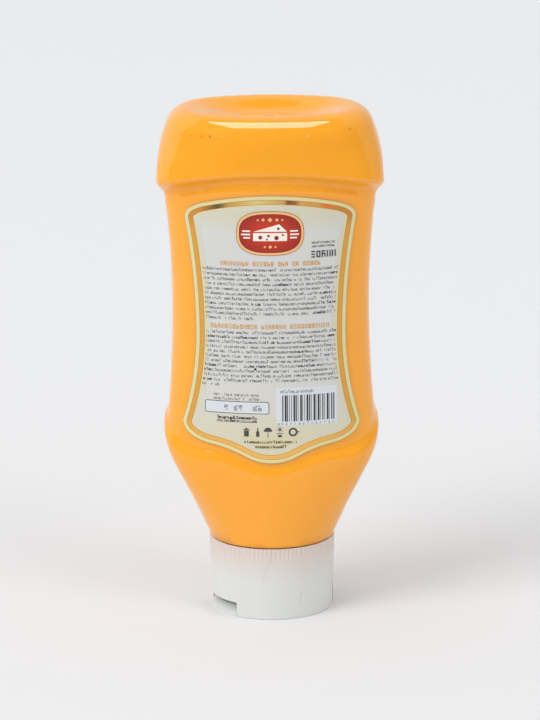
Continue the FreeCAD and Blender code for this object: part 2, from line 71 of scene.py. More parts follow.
print("nodes:", sorted(NODES))

# %% [markdown]
# ## Small helpers
# Colours are written as sRGB hex values, the way a printer's swatch gives them, and one function
# turns them to the linear numbers that the shaders use. One more adds a node with its settings and
# links. A third starts a material with a Principled shader, which almost every finish here uses.
# The last two give a piece its material and put a new object into the scene.

# %% Colour, node and material helpers
def linear(hex_text):
    """An sRGB hex colour as linear RGBA."""
    parts = [int(hex_text[i:i + 2], 16) / 255 for i in (1, 3, 5)]
    curve = [p / 12.92 if p <= 0.04045 else ((p + 0.055) / 1.055) ** 2.4 for p in parts]
    return (*curve, 1.0)


def add(tree, kind, inputs=None, **settings):
    """Adds a node. An input's value is a number, a colour or the socket that it is linked from."""
    node = tree.nodes.new(kind)
    for key, setting in settings.items():
        setattr(node, key, setting)
    for key, given in (inputs or {}).items():
        if isinstance(given, bpy.types.NodeSocket):
            tree.links.new(given, node.inputs[key])
        else:
            node.inputs[key].default_value = given
    return node


def material(name, hex_text, roughness, ior=1.5, **plain):
    """A material with one Principled shader. Returns it with its tree and that shader."""
    made = bpy.data.materials.new(name)
    made.use_nodes = True
    shader = made.node_tree.nodes["Principled BSDF"]
    shader.inputs["Base Color"].default_value = linear(hex_text)
    shader.inputs["Roughness"].default_value = roughness
    shader.inputs["IOR"].default_value = ior
    for key, given in plain.items():
        shader.inputs[key.replace("_", " ")].default_value = given
    return made, made.node_tree, shader


def dress(piece, finish):
    """Gives a piece one material."""
    piece.data.materials.clear()
    piece.data.materials.append(finish)


def placed(name, content):
    """A new object in the scene that holds a mesh, a lamp or a camera."""
    thing = bpy.data.objects.new(name, content)
    bpy.context.scene.collection.objects.link(thing)
    return thing


# %% [markdown]
# ## Blown PET
# PET bottles are stretched and blown against a polished mould, so the wall is clear and very
# smooth, with an IOR near 1.57 and slow waves where the wall cooled unevenly. The wall is a real
# glass-like shader. The lamps' light and the light that the room scatters pass straight through it
# by Light Path switches, because a path tracer finds light behind clear walls only slowly.

# %% PET
WAVE_LENGTH = 22 * MM


def clear_pet():
    made, tree, pet = material("blown_PET", "#fbfcfb", 0.035, 1.57, Transmission_Weight=1.0)
    place = add(tree, "ShaderNodeTexCoord").outputs["Object"]
    waves = add(tree, "ShaderNodeTexNoise", {"Vector": place, "Scale": 1 / WAVE_LENGTH, "Detail": 2.0})
    bump = add(tree, "ShaderNodeBump",
               {"Height": waves.outputs["Fac"], "Strength": 0.25, "Distance": 0.25 * MM})
    tree.links.new(bump.outputs["Normal"], pet.inputs["Normal"])
    ray = add(tree, "ShaderNodeLightPath")
    clear = add(tree, "ShaderNodeBsdfTransparent")
    wall = pet.outputs[0]
    for kind in ("Is Diffuse Ray", "Is Shadow Ray"):
        wall = add(tree, "ShaderNodeMixShader",
                   {0: ray.outputs[kind], 1: wall, 2: clear.outputs[0]}).outputs[0]
    tree.links.new(wall, tree.nodes["Material Output"].inputs["Surface"])
    return made


dress(NODES["bottle"], clear_pet())
print("PET wall of", len(NODES["bottle"].data.polygons), "faces")

# %% [markdown]
# ## Cheese sauce
# The sauce is a thick emulsion that wets the wall everywhere, so no air shows between them. It is
# made from the CAD filling: a copy is merged, and each point moves a quarter of a millimetre along
# its normal, into the wall. Fat droplets scatter the light below the surface, which softens it.
# The wall gives the shine, so the sauce itself has none.

# %% The filling
MERGE_DISTANCE = 0.002 * MM
INTO_WALL = 0.25 * MM
CLOUD_SIZE = 35 * MM
SCATTER_DEPTH = 2.5 * MM


def merged_copy(node, name):
    """A copy of a CAD node with its loose triangles joined."""
    mesh = NODES[node].data.copy()
    mesh.name = name
    mesh.materials.clear()
    shape = bmesh.new()
    shape.from_mesh(mesh)
    bmesh.ops.remove_doubles(shape, verts=shape.verts, dist=MERGE_DISTANCE)
    shape.to_mesh(mesh)
    shape.free()
    if mesh.has_custom_normals:
        mesh.attributes.remove(mesh.attributes["custom_normal"])
    mesh.shade_smooth()
    return placed(name, mesh)


sauce = merged_copy("sauce", "cheese_sauce")
spots = np.zeros(len(sauce.data.vertices) * 3)
sauce.data.vertices.foreach_get("co", spots)
normals = np.zeros(len(sauce.data.vertices) * 3)
sauce.data.vertex_normals.foreach_get("vector", normals)
floor_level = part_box("sauce")[0].z
spots = (spots + INTO_WALL * normals).reshape(-1, 3)
spots[:, 2] = np.maximum(spots[:, 2], floor_level)
sauce.data.vertices.foreach_set("co", spots.ravel())
sauce.data.update()


def cheese_sauce():
    made, tree, body = material("cheese_sauce", "#ffa827", 0.45, 1.45, Specular_IOR_Level=0.0,
                                Subsurface_Weight=0.35, Subsurface_Scale=SCATTER_DEPTH)
    body.inputs["Subsurface Radius"].default_value = (1.0, 0.55, 0.2)
    place = add(tree, "ShaderNodeTexCoord").outputs["Object"]
    clouds = add(tree, "ShaderNodeTexNoise", {"Vector": place, "Scale": 1 / CLOUD_SIZE, "Detail": 3.0})
    tone = add(tree, "ShaderNodeMix", {"Factor": clouds.outputs["Fac"], "A": linear("#ffa827"),
                                       "B": linear("#ffac2d")}, data_type="RGBA")
    tree.links.new(tone.outputs["Result"], body.inputs["Base Color"])
    return made


dress(sauce, cheese_sauce())
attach(sauce, "root")
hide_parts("sauce")
print("sauce of", len(sauce.data.polygons), "faces")

# %% [markdown]
# ## The cap
# Such caps are moulded in white polypropylene from a tool with a fine satin texture. The plastic
# is slightly translucent, and the warm light that the sauce in the neck gives its upper part is
# painted into its colour. The lid is the same plastic. Only its thumb tab and its hinge show, and
# both lie deep in the cap's foot, so painted shade makes its tone darker from the foot up. The
# texture is drawn at 0.5 mm, coarser than the real one.

# %% Polypropylene
SATIN_GRAIN = 0.5 * MM


def white_polypropylene(name, low_tone, high_tone, low, high):
    """The plastic, going from one tone to another between two heights."""
    made, tree, body = material(name, low_tone, 0.42, 1.49,
                                Subsurface_Weight=0.15, Subsurface_Scale=1.5 * MM)
    place = add(tree, "ShaderNodeTexCoord").outputs["Object"]
    grain = add(tree, "ShaderNodeTexNoise", {"Vector": place, "Scale": 1 / SATIN_GRAIN, "Detail": 2.0})
    bump = add(tree, "ShaderNodeBump",
               {"Height": grain.outputs["Fac"], "Strength": 0.3, "Distance": 0.02 * MM})
    tree.links.new(bump.outputs["Normal"], body.inputs["Normal"])
    height = add(tree, "ShaderNodeSeparateXYZ", {"Vector": place}).outputs["Z"]
    rise = add(tree, "ShaderNodeMapRange", {"Value": height, "From Min": low, "From Max": high},
               interpolation_type="SMOOTHSTEP")
    tone = add(tree, "ShaderNodeMix", {"Factor": rise.outputs["Result"], "A": linear(low_tone),
                                       "B": linear(high_tone)}, data_type="RGBA")
    tree.links.new(tone.outputs["Result"], body.inputs["Base Color"])
    return made


# the cap's warmer tone towards its top is painted warm light from the sauce
dress(NODES["cap"], white_polypropylene("cap_polypropylene", "#d9dbd8", "#dacdc6", 12 * MM, 28 * MM))
# the lid's darker tone towards its top is painted shade from the cap's foot over it
dress(NODES["lid"], white_polypropylene("lid_polypropylene", "#d9dbd8", "#979b92", 0, 5.5 * MM))

# %% [markdown]
# ## The label's film
# The label is a printed plastic film. Its field is a pale grey that turns a pale yellow towards
# the top and the foot. The film's own material paints it with a colour ramp over the height.

# %% The film
LABEL_LOW, LABEL_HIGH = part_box("label")
# the field's tones by height, as shares of the label's height
FIELD_TONES = ((0.0, "#d2c88c"), (0.06, "#d3ca98"), (0.12, "#d3cdb4"), (0.22, "#d1cfc6"),
               (0.34, "#d0d0ce"), (0.86, "#d0d0ce"), (0.91, "#d0cdb9"), (1.0, "#d4c99f"))


def printed_film():
    made, tree, film = material("printed_film", "#d0d0ce", 0.38, 1.5)
    place = add(tree, "ShaderNodeTexCoord").outputs["Object"]
    height = add(tree, "ShaderNodeSeparateXYZ", {"Vector": place}).outputs["Z"]
    share = add(tree, "ShaderNodeMapRange", {"Value": height, "From Min": LABEL_LOW.z,
                                             "From Max": LABEL_HIGH.z}).outputs["Result"]
    tone = add(tree, "ShaderNodeValToRGB", {"Fac": share})
    for at, hex_text in FIELD_TONES[1:-1]:
        tone.color_ramp.elements.new(at).color = linear(hex_text)
    for end in (0, -1):
        tone.color_ramp.elements[end].color = linear(FIELD_TONES[end][1])
    tree.links.new(tone.outputs["Color"], film.inputs["Base Color"])
    return made


dress(NODES["label"], printed_film())
print("film from", round(LABEL_LOW.z / MM, 1), "to", round(LABEL_HIGH.z / MM, 1), "mm")

# %% [markdown]
# ## The label's outline
# The print is laid out from the label's own edge. The edge of the front face is read from the CAD
# mesh as one closed path in the front view, with its points evenly spaced. Bands and lines are then
# drawn a given distance inside it, the way a cutter guide is used in a pack's artwork.

# %% Reading the edge
STATIONS = 420


def even(path, count=STATIONS):
    """The closed path with its points evenly spaced, from its highest point on the middle line."""
    path = np.asarray(path)
    path = np.roll(path, -int(np.argmin(np.abs(path[:, 0]) - path[:, 1])), axis=0)
    loop = np.vstack([path, path[:1]])
    run = np.concatenate([[0], np.cumsum(np.linalg.norm(np.diff(loop, axis=0), axis=1))])
    spots = np.linspace(0, run[-1], count, endpoint=False)
    return np.column_stack([np.interp(spots, run, loop[:, axis]) for axis in (0, 1)])


def front_edge(piece):
    """The edge of a piece's front face, seen from the front, in order."""
    shape = bmesh.new()
    shape.from_mesh(piece.data)
    bmesh.ops.remove_doubles(shape, verts=shape.verts, dist=MERGE_DISTANCE)
    rim = [edge for edge in shape.edges if edge.calc_face_angle(0) > math.radians(60)
           and min(face.normal.y for face in edge.link_faces) < -0.7]
    after = {}
    for edge in rim:
        for here, there in (edge.verts, reversed(edge.verts)):
            after.setdefault(here, []).append(there)
    start = rim[0].verts[0]
    walk = [start, after[start][0]]
    while walk[-1] is not start:
        walk.append(next(vert for vert in after[walk[-1]] if vert is not walk[-2]))
    path = [(vert.co.x, vert.co.z) for vert in walk[:-1]]
    shape.free()
    return even(path)


def inset(path, distance):
    """The path moved inwards by a distance, without the folds that tight corners would make."""
    along = np.roll(path, -2, axis=0) - np.roll(path, 2, axis=0)
    along /= np.linalg.norm(along, axis=1)[:, None]
    inward = np.column_stack([-along[:, 1], along[:, 0]])
    if np.sum(inward * (path - path.mean(axis=0))) > 0:
        inward = -inward
    moved = path + distance * inward
    near = np.min(np.linalg.norm(moved[:, None] - path[None], axis=2), axis=1)
    return even(moved[near > distance * 0.98])


edge_path = front_edge(NODES["label"])
print("label edge:", len(edge_path), "points,", np.round(edge_path.min(axis=0) / MM, 1),
      "to", np.round(edge_path.max(axis=0) / MM, 1), "mm")

# %% [markdown]
# ## Print as thin sheets
# Each field of ink is a thin closed sheet, drawn flat in the front view and later laid on the
# label. A ribbon runs between two closed paths, and a plate fills one path with ever smaller rings.
# A bar is cut into short columns. All three can so follow the label's curve.

# %% Ribbons, plates and bars
INK_DEPTH = 0.08 * MM


def mesh_piece(name, spots, faces):
    """A new object from points and faces, its doubles merged and its normals outwards."""
    mesh = bpy.data.meshes.new(name)
    mesh.from_pydata([tuple(spot) for spot in spots], [], faces)
    shape = bmesh.new()
    shape.from_mesh(mesh)
    bmesh.ops.remove_doubles(shape, verts=shape.verts, dist=0.001 * MM)
    bmesh.ops.recalc_face_normals(shape, faces=shape.faces)
    shape.to_mesh(mesh)
    shape.free()
    return placed(name, mesh)


def band_between(faces, first, second, count, closed=True):
    """Adds the four-sided faces between two rows of points."""
    for i in range(count if closed else count - 1):
        j = (i + 1) % count
        faces.append((first + i, first + j, second + j, second + i))


def ribbon(name, outer, inner):
    """A sheet between two closed paths with equal counts of points."""
    count = len(outer)
    spots = [(x, y, z) for y in (-INK_DEPTH / 2, INK_DEPTH / 2)
             for path in (outer, inner) for x, z in path]
    faces = []
    for first, second in ((0, 1), (2, 3), (0, 2), (1, 3)):
        band_between(faces, first * count, second * count, count)
    return mesh_piece(name, spots, faces)


def plate(name, path, rings=5):
    """A sheet that fills a closed path, which its middle can see all of."""
    path = np.asarray(path)
    middle, count = path.mean(axis=0), len(path)
    spots, faces = [], []
    for y in (-INK_DEPTH / 2, INK_DEPTH / 2):
        first = len(spots)
        for ring in range(rings, 0, -1):
            spots += [(x, y, z) for x, z in middle + (path - middle) * ring / rings]
        for ring in range(rings - 1):
            band_between(faces, first + ring * count, first + (ring + 1) * count, count)
        spots.append((middle[0], y, middle[1]))
        last = len(spots) - 1
        faces += [(last - count + i, last - count + (i + 1) % count, last) for i in range(count)]
    band_between(faces, 0, len(spots) // 2, count)
    return mesh_piece(name, spots, faces)


def bar(name, left, right, low, high, columns=None):
    """A sheet with four straight sides, cut into columns of about a millimetre."""
    columns = columns or max(1, round((right - left) / MM))
    spots = [(x, y, z) for y in (-INK_DEPTH / 2, INK_DEPTH / 2) for z in (low, high)
             for x in np.linspace(left, right, columns + 1)]
    wide, faces = columns + 1, []
    for first, second in ((0, 1), (2, 3), (0, 2), (1, 3)):
        band_between(faces, first * wide, second * wide, wide, closed=False)
    for end in (0, columns):
        faces.append((end, wide + end, 3 * wide + end, 2 * wide + end))
    return mesh_piece(name, spots, faces)


# %% [markdown]
# ## Laying print down
# One node group lays every piece of print on the film, or a mark on another node. From each point a
# ray goes straight back until it meets that node, and the point moves there. It keeps its own
# depth, so the ink stays a closed sheet, and a small lift puts later inks over earlier ones.

# %% The node group that lays print down
def new_group(name, **sockets):
    """A geometry node group with named inputs and one geometry output."""
    group = bpy.data.node_groups.new(name, "GeometryNodeTree")
    for label, kind in sockets.items():
        group.interface.new_socket(label.replace("_", " "), in_out="INPUT",
                                   socket_type="NodeSocket" + kind)
    group.interface.new_socket("Geometry", in_out="OUTPUT", socket_type="NodeSocketGeometry")
    return group


def run_group(piece, group, **inputs):
    """Runs a node group on a piece and keeps the result as its plain mesh."""
    modifier = piece.modifiers.new(group.name, "NODES")
    modifier.node_group = group
    sockets = {item.name: item.identifier for item in group.interface.items_tree
               if item.in_out == "INPUT"}
    for label, given in inputs.items():
        modifier[sockets[label.replace("_", " ")]] = given
    graph = bpy.context.evaluated_depsgraph_get()
    mesh = bpy.data.meshes.new_from_object(piece.evaluated_get(graph))
    mesh.name = piece.name
    piece.modifiers.clear()
    piece.data = mesh


def inked(group, geometry, ink):
    """The geometry made real and dressed in a material."""
    real = add(group, "GeometryNodeRealizeInstances", {"Geometry": geometry}).outputs[0]
    return add(group, "GeometryNodeSetMaterial", {"Geometry": real, "Material": ink}).outputs[0]


# rays start this far in front of the middle plane and are this long, in metres
RAY_START, RAY_LENGTH = 0.1, 0.2


def laying_group():
    group = new_group("Lay on a node", Geometry="Geometry", Onto="Object", Lift="Float",
                      Ink="Material")
    given = add(group, "NodeGroupInput").outputs
    flat = add(group, "ShaderNodeSeparateXYZ",
               {0: add(group, "GeometryNodeInputPosition").outputs[0]}).outputs
    start = add(group, "ShaderNodeCombineXYZ", {"X": flat["X"], "Y": -RAY_START, "Z": flat["Z"]})
    onto = add(group, "GeometryNodeObjectInfo", {"Object": given["Onto"]},
               transform_space="RELATIVE").outputs["Geometry"]
    ray = add(group, "GeometryNodeRaycast",
              {"Target Geometry": onto, "Source Position": start.outputs[0],
               "Ray Direction": (0, 1, 0), "Ray Length": RAY_LENGTH})
    hit = add(group, "ShaderNodeSeparateXYZ", {0: ray.outputs["Hit Position"]}).outputs["Y"]
    laid = add(group, "ShaderNodeMath", {0: hit, 1: flat["Y"]}, operation="ADD").outputs[0]
    lifted = add(group, "ShaderNodeMath", {0: laid, 1: given["Lift"]}, operation="SUBTRACT").outputs[0]
    spot = add(group, "ShaderNodeCombineXYZ", {"X": flat["X"], "Y": lifted, "Z": flat["Z"]})
    moved = add(group, "GeometryNodeSetPosition",
                {"Geometry": given["Geometry"], "Position": spot.outputs[0]}).outputs[0]
    add(group, "NodeGroupOutput", {"Geometry": inked(group, moved, given["Ink"])})
    return group


LAYING = laying_group()
LIFT = 0.02 * MM


def joined(name, pieces):
    """One object from several."""
    shape = bmesh.new()
    for piece in pieces:
        shape.from_mesh(piece.data)
        bpy.data.objects.remove(piece)
    mesh = bpy.data.meshes.new(name)
    shape.to_mesh(mesh)
    shape.free()
    return placed(name, mesh)


def lay(name, pieces, finish, layer=1, onto="label"):
    """Joins flat pieces, lays them on a node in a material, and lets them ride with it."""
    whole = joined(name, pieces)
    run_group(whole, LAYING, Onto=NODES[onto], Lift=layer * LIFT, Ink=finish)
    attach(whole, "root")
    print(name, "of", len(whole.data.polygons), "faces")


# %% [markdown]
# ## Inks
# The film is printed by gravure: flat inks of a pack's few colours, each a little uneven where the
# cylinder's cells left more or less of it. One recipe makes them all, with that mottling as a fine
# noise between two nearly equal tones. Its cells are drawn at 0.4 mm, about three times the real
# ones, so that they still show.

# %% Ink materials
INK_CELL = 0.4 * MM
INK_ROUGHNESS = 0.4


def ink(name, light_hex, dark_hex):
    """An ink mottled between two tones."""
    made, tree, shader = material(name, light_hex, INK_ROUGHNESS)
    place = add(tree, "ShaderNodeTexCoord").outputs["Object"]
    cells = add(tree, "ShaderNodeTexNoise", {"Vector": place, "Scale": 1 / INK_CELL, "Detail": 2.0})
    tone = add(tree, "ShaderNodeMix", {"Factor": cells.outputs["Fac"], "A": linear(light_hex),
                                       "B": linear(dark_hex)}, data_type="RGBA")
    tree.links.new(tone.outputs["Result"], shader.inputs["Base Color"])
    return made


line_ink = ink("ink_olive", "#98804a", "#866f3c")
pale_ink = ink("ink_pale_green", "#e2d49a", "#dccd90")
dark_ink = ink("ink_dark_grey", "#4e4e4c", "#40403e")
black_ink = ink("ink_black", "#2c2a2a", "#222121")
heading_ink = ink("ink_orange_gold", "#d89c2c", "#d09224")
white_ink = ink("ink_bluish_white", "#d8dce1", "#d2d7dd")
cream_ink = ink("ink_cream", "#f6efe6", "#efe6da")

# %% [markdown]
# ## The border
# From the edge inwards the border is a thin dark line, a pale band, another line, a gold band and a
# last line. Inside it the field fades from yellow to grey in three narrow steps. The gold is a foil
# that is orange at the sides and lighter at the foot. Along the top a painted reflection of the
# room gives it dark and bright stretches.

# %% Border bands
GLINT_REACH = 30 * MM
# heights between which the foil's tones change: the painted reflection of the room fades in
# from the label's top, and the lighter tone from its foot
TOP_FADE, FOOT_FADE = (14 * MM, 9 * MM), (16 * MM, 6 * MM)


def gold_foil():
    made, tree, shader = material("gold_foil", "#da9f3c", 0.34, Metallic=0.15)
    place = add(tree, "ShaderNodeTexCoord").outputs["Object"]
    spot = add(tree, "ShaderNodeSeparateXYZ", {"Vector": place}).outputs
    across = add(tree, "ShaderNodeMapRange", {"Value": spot["X"], "From Min": -GLINT_REACH,
                                              "From Max": GLINT_REACH})
    # the room's reflection along the top, painted into the foil's colour
    stretch = add(tree, "ShaderNodeValToRGB", {"Fac": across.outputs["Result"]})
    ramp = stretch.color_ramp
    for at, hex_text in FOIL_ROOM_REFLECTION:
        ramp.elements.new(at).color = linear(hex_text)
    ramp.elements.remove(ramp.elements[0])
    ramp.elements.remove(ramp.elements[-1])
    top = add(tree, "ShaderNodeMapRange", {"Value": spot["Z"], "From Min": LABEL_HIGH.z - TOP_FADE[0],
                                           "From Max": LABEL_HIGH.z - TOP_FADE[1]})
    foot = add(tree, "ShaderNodeMapRange", {"Value": spot["Z"], "From Min": LABEL_LOW.z + FOOT_FADE[0],
                                            "From Max": LABEL_LOW.z + FOOT_FADE[1]})
    plain = add(tree, "ShaderNodeMix", {"Factor": foot.outputs["Result"], "A": linear("#db9f42"),
                                        "B": linear("#efb45a")}, data_type="RGBA")
    tone = add(tree, "ShaderNodeMix", {"Factor": top.outputs["Result"], "A": plain.outputs["Result"],
                                       "B": stretch.outputs["Color"]}, data_type="RGBA")
    tree.links.new(tone.outputs["Result"], shader.inputs["Base Color"])
    return made


# the painted reflection of the room along the foil's top, dark and bright stretches from the left
# to the right
FOIL_ROOM_REFLECTION = ((0.05, "#d08a35"), (0.11, "#a87026"), (0.17, "#5f4f22"), (0.2, "#8f7438"),
          (0.24, "#cc9a48"), (0.33, "#dcae60"), (0.42, "#dfc47e"), (0.5, "#d8b468"),
          (0.585, "#cfa05a"), (0.61, "#8c4a2a"), (0.66, "#a86238"), (0.69, "#d8a050"),
          (0.8, "#d99a40"), (0.855, "#e0742c"), (0.9, "#d9812c"), (0.95, "#c9862f"))
# each band's inner side, in millimetres inside the label's edge, and its ink
BANDS = ((0.15, "line"), (1.5, "pale"), (1.65, "line"), (3.2, "gold"), (3.35, "line"),
         (4.0, "near"), (4.7, "middle"), (5.5, "far"))
finishes = {"line": line_ink, "pale": pale_ink, "gold": gold_foil(),
            "near": ink("ink_near", "#dacfa2", "#d6cb9e"),
            "middle": ink("ink_middle", "#d3ceb8", "#d1cbb4"),
            "far": ink("ink_far", "#d1cfc3", "#cfcdc1")}
strips = {name: [] for name in finishes}
FIRST_INSET = 0.04 * MM
outer_path = inset(edge_path, FIRST_INSET)
for distance, name in BANDS:
    inner_path = inset(edge_path, distance * MM)
    strips[name].append(ribbon("band", outer_path, inner_path))
    outer_path = inner_path
for name, ribbons in strips.items():
    lay("border_" + name, ribbons, finishes[name])

# %% [markdown]
# ## Marks for small print
# The small print carries no words: rows of marks stand in for it. A mark is one to four short
# strokes on a square of one millimetre. These are made twice, with light and with heavy strokes.
# The headings have marks of their own that are all of one height, and the date has marks of small
# dots. Each kind is kept in a collection, from which a node tree takes them.

# %% Mark shapes
def mark_strokes(s, high):
    """Marks as lists of strokes (left, low, right, high) that are s wide; most end at high."""
    low, right, middle = 0.0, 0.45, 0.42 * high
    left_post, right_post = (0, low, s, high), (right, low, right + s, high)
    foot, roof = (s, low, right, s), (s, high - s, right, high)
    return {
        "post": [(0.2, low, 0.2 + s, 1)],
        "corner": [left_post, (s, low, 0.5, s)],
        "tee": [(0.2, low, 0.2 + s, 1 - s), (0, 1 - s, 0.6, 1)],
        "arch": [left_post, right_post, roof],
        "cup": [left_post, right_post, foot],
        "box": [left_post, right_post, foot, roof],
        "comb": [left_post, (s, low, 0.5, s), (s, middle, 0.45, middle + s), (s, high - s, 0.5, high)],
        "stool": [(0, low, s, 1), (right, low, right + s, 0.55), (s, 0.55 - s, right, 0.55)],
        "hook": [left_post, (s, high - s, 0.5, high)],
        "gate": [left_post, (0.3, low, 0.3 + s, high - s), (0.6, low, 0.6 + s, high - s),
                 (s, high - s, 0.6 + s, high)],
    }


def tall_strokes(s):
    """The marks of the headings: posts, bars and frames, all of one height."""
    left_post, right_post = (0, 0, s, 1), (0.42, 0, 0.42 + s, 1)
    foot, middle, roof = ((s, low, 0.42, low + s) for low in (0, 0.5 - s / 2, 1 - s))
    half_post = (0.42, 0, 0.42 + s, 0.5 + s / 2)
    return {
        "pair": [left_post, right_post],
        "frame": [left_post, right_post, foot, roof],
        "window": [left_post, right_post, foot, middle, roof],
        "stack": [(0, bottom, 0.55, bottom + s) for bottom in (0, 0.5 - s / 2, 1 - s)],
        "chair": [left_post, half_post, foot, middle],
        "trestle": [left_post, half_post, middle, (s, 1 - s, 0.42 + s, 1)],
    }


def dot_strokes(count=6, columns=3, rows=5, dot=0.13, step_x=0.22, step_z=0.2, left_out=0.35):
    """Marks of square dots on a grid, as a date printer sets them, with a share left out."""
    random = np.random.default_rng(4)
    return {f"dots_{mark}": [(step_x * column, step_z * row, step_x * column + dot, step_z * row + dot)
                             for column in range(columns) for row in range(rows)
                             if random.random() > left_out] for mark in range(count)}


def mark_case(name, shapes):
    """A collection of marks from their strokes."""
    case = bpy.data.collections.new(name)
    for shape, strokes in shapes.items():
        mark = joined(f"{name}_{shape}", [bar("stroke", left * MM, right * MM, low * MM, high * MM, 1)
                                          for left, low, right, high in strokes])
        bpy.context.scene.collection.objects.unlink(mark)
        case.objects.link(mark)
    return case


LIGHT_MARKS = mark_case("light_marks", mark_strokes(0.115, 0.66))
HEAVY_MARKS = mark_case("heavy_marks", mark_strokes(0.19, 0.68))
TALL_MARKS = mark_case("tall_marks", tall_strokes(0.16))
DOT_MARKS = mark_case("dot_marks", dot_strokes())

# %% [markdown]
# ## Rows of marks
# A tree sets the marks on a grid of points, with a random one at each. Some points stay empty as
# the gaps between words, and the last row ends early, as a paragraph does. A slow noise picks the
# stretches that are set in heavy marks. The tree runs once for each weight, so each gets its ink.

# %% The node group for rows
# the noise that picks heavy stretches changes over this length and from row to row
STRETCH_LENGTH, STRETCH_HEIGHT = 9 * MM, 1 * MM


def rows_group():
    group = new_group("Rows of marks", Marks="Collection", Heavy="Bool", Width="Float",
                      Height="Float", Columns="Int", Rows="Int", Size="Float", Last="Float",
                      Gaps="Float", Heavy_Share="Float", Kinds="Int", Seed="Int", Ink="Material")
    given = add(group, "NodeGroupInput").outputs
    grid = add(group, "GeometryNodeMeshGrid",
               {"Size X": given["Width"], "Size Y": given["Height"], "Vertices X": given["Columns"],
                "Vertices Y": given["Rows"]}).outputs["Mesh"]
    upright = add(group, "GeometryNodeTransform",
                  {"Geometry": grid, "Rotation": (math.pi / 2, 0, 0)}).outputs[0]
    gap = add(group, "FunctionNodeRandomValue",
              {"Probability": given["Gaps"], "Seed": given["Seed"]}, data_type="BOOLEAN")
    spot = add(group, "ShaderNodeSeparateXYZ",
               {0: add(group, "GeometryNodeInputPosition").outputs[0]}).outputs
    bottom = add(group, "ShaderNodeMath", {0: given["Height"], 1: -0.49}, operation="MULTIPLY")
    last_row = add(group, "FunctionNodeCompare", {"A": spot["Z"], "B": bottom.outputs[0]},
                   operation="LESS_THAN").outputs[0]
    end = add(group, "ShaderNodeMath", {0: given["Last"], 1: 0.5}, operation="SUBTRACT").outputs[0]
    limit = add(group, "ShaderNodeMath", {0: end, 1: given["Width"]}, operation="MULTIPLY").outputs[0]
    beyond = add(group, "FunctionNodeCompare", {"A": spot["X"], "B": limit},
                 operation="GREATER_THAN").outputs[0]
    short = add(group, "FunctionNodeBooleanMath", {0: last_row, 1: beyond}, operation="AND").outputs[0]
    empty = add(group, "FunctionNodeBooleanMath", {0: gap.outputs["Value"], 1: short},
                operation="OR").outputs[0]
    row_spread = add(group, "ShaderNodeVectorMath",
                     {0: add(group, "GeometryNodeInputPosition").outputs[0],
                      1: (1 / STRETCH_LENGTH, 1, 1 / STRETCH_HEIGHT)}, operation="MULTIPLY").outputs[0]
    slow = add(group, "ShaderNodeTexNoise", {"Vector": row_spread, "W": given["Seed"], "Scale": 1.0,
                                             "Detail": 0.0}, noise_dimensions="4D").outputs[0]
    here = add(group, "FunctionNodeCompare", {"A": slow, "B": given["Heavy Share"]},
               operation="LESS_THAN").outputs[0]
    other = add(group, "FunctionNodeBooleanMath", {0: here, 1: given["Heavy"]},
                operation="XOR").outputs[0]
    unset = add(group, "FunctionNodeBooleanMath", {0: empty, 1: other}, operation="OR").outputs[0]
    pick = add(group, "FunctionNodeRandomValue",
               {"Min": 0, "Max": given["Kinds"], "Seed": given["Seed"]},
               data_type="INT").outputs["Value"]
    set_points = add(group, "GeometryNodeStoreNamedAttribute",
                     {"Geometry": upright, "Name": "pick", "Value": pick}, data_type="INT",
                     domain="POINT").outputs[0]
    words = add(group, "GeometryNodeDeleteGeometry", {"Geometry": set_points, "Selection": unset},
                domain="POINT").outputs[0]
    case = add(group, "GeometryNodeCollectionInfo",
               {"Collection": given["Marks"], "Separate Children": True,
                "Reset Children": True}).outputs[0]
    kept = add(group, "GeometryNodeInputNamedAttribute", {"Name": "pick"}, data_type="INT")
    rows = add(group, "GeometryNodeInstanceOnPoints",
               {"Points": words, "Instance": case, "Pick Instance": True,
                "Instance Index": kept.outputs["Attribute"], "Scale": given["Size"]}).outputs[0]
    add(group, "NodeGroupOutput", {"Geometry": inked(group, rows, given["Ink"])})
    return group


ROWS = rows_group()
WIDEST_MARK = 0.62
print("rows group:", len(ROWS.nodes), "nodes")

# %% [markdown]
# ## Setting the small print
# The print has two text blocks, each under a golden heading, and a few short captions. The rows of
# the blocks follow the label's waisted sides: each point's distance from the middle is scaled by
# the label's half-width at its height.

# %% Blocks of marks
def half_width(height):
    """The label's half-width at a height."""
    right = edge_path[edge_path[:, 0] > 0]
    right = right[np.argsort(right[:, 1])]
    return float(np.interp(height, right[:, 1], right[:, 0]))


def marks(left, right, low, high, rows, size=1.1, last=1.0, gaps=0.13, heavy_share=0.36, seed=1,
          pitch=0.76, fitted=False, cases=(LIGHT_MARKS, HEAVY_MARKS)):
    """Rows of marks in a box given in millimetres. Returns a flat piece for each case of marks."""
    pieces = []
    for case in cases:
        piece = mesh_piece("marks", [], [])
        run_group(piece, ROWS, Marks=case, Heavy=case is not LIGHT_MARKS, Kinds=len(case.objects) - 1,
                  Width=(right - left - WIDEST_MARK * size) * MM, Height=(high - low - size) * MM,
                  Columns=max(2, round((right - left) / pitch)), Rows=rows, Size=size, Last=last,
                  Gaps=gaps, Heavy_Share=heavy_share, Seed=seed, Ink=dark_ink)
        shift_x, shift_z = (left + right - WIDEST_MARK * size) / 2, (low + high - size) / 2
        for vert in piece.data.vertices:
            x, height = vert.co.x + shift_x * MM, vert.co.z + shift_z * MM
            vert.co.x = x * half_width(height) / half_width(high * MM) if fitted else x
            vert.co.z = height
        pieces.append(piece)
    return pieces


print_light, print_heavy, print_gold = [], [], []
